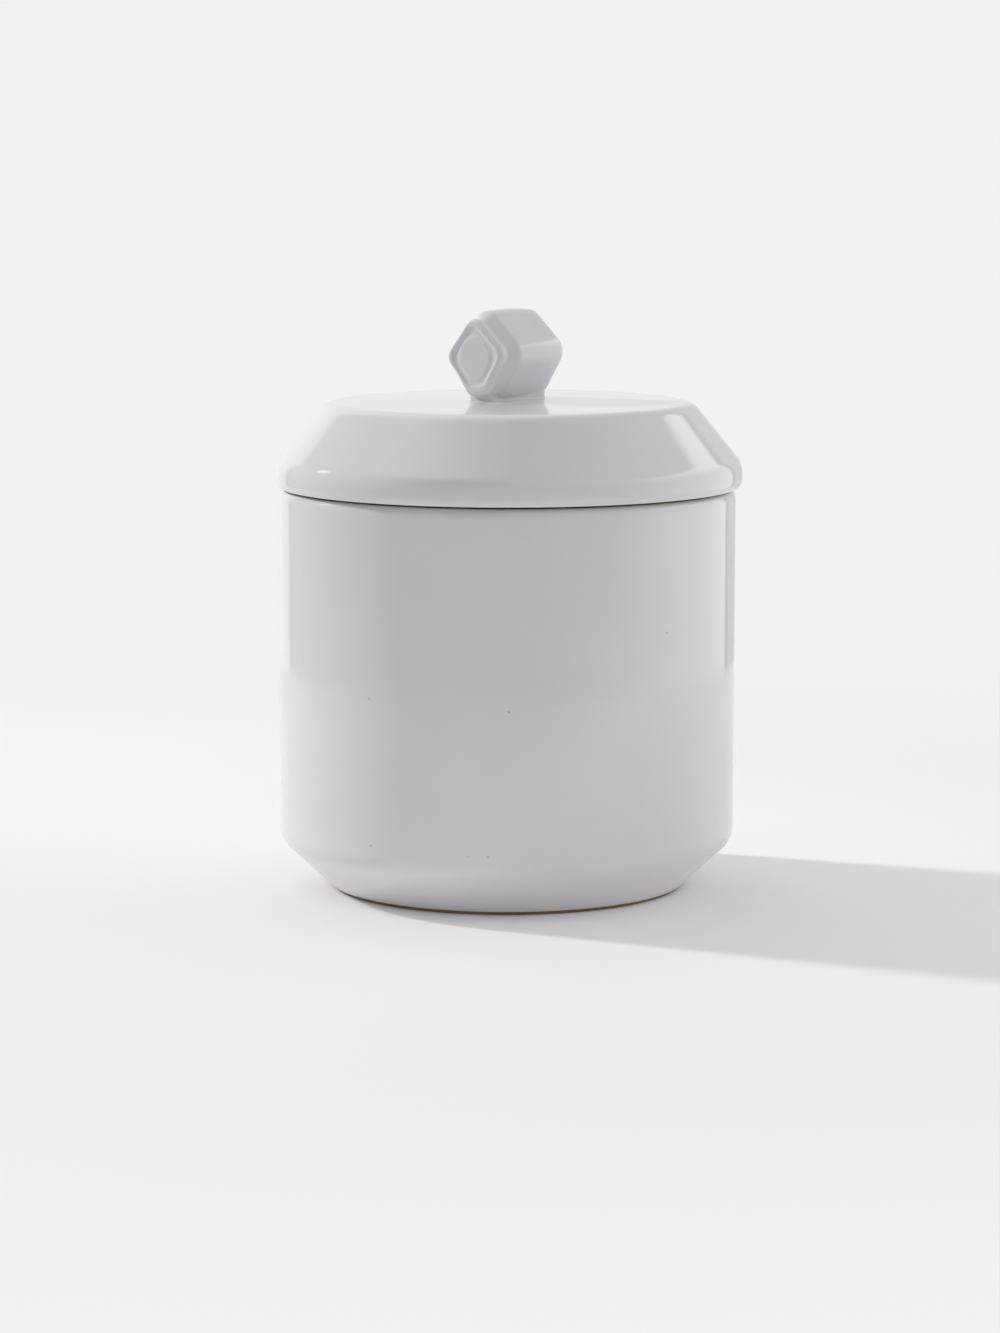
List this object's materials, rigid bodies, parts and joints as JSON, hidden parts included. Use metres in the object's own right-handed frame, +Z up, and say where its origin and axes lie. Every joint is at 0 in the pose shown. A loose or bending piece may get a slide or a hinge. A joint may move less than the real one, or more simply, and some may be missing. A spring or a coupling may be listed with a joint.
{
  "type": "lidded pyxis jar",
  "caption": "Round straight-walled jar with a bevelled foot and a loose bevelled lid, lifted by a short square bar knob set on its edge.",
  "frame": {"origin": "on the floor, under the middle of the lid and of the whole object's box", "axes": "+Z up out of the jar's mouth; -Y towards the pictured side; +X to the right seen from there"},
  "size_m": [0.1226, 0.1226, 0.1509],
  "materials": {
    "bare_stoneware": "matt brown fired stoneware, bare at the foot, rim, seat and flange",
    "white_glaze": "glossy white glaze with fine iron specks",
    "liner_glaze": "glossy white liner glaze"
  },
  "bodies": {
    "jar": {"jar_body": "bare_stoneware", "jar_outer_glaze": "white_glaze", "jar_inner_glaze": "liner_glaze"},
    "lid": {"lid_shell": "bare_stoneware", "lid_flange": "bare_stoneware", "lid_outer_glaze": "white_glaze", "lid_inner_glaze": "liner_glaze", "knob_neck": "bare_stoneware", "knob": "bare_stoneware", "knob_glaze": "white_glaze"}
  },
  "joints": [
    {"name": "lid_lift", "type": "slide", "parent": "jar", "child": "lid", "axis": [0, 0, 1], "range_m": [0, 0.12]}
  ]
}
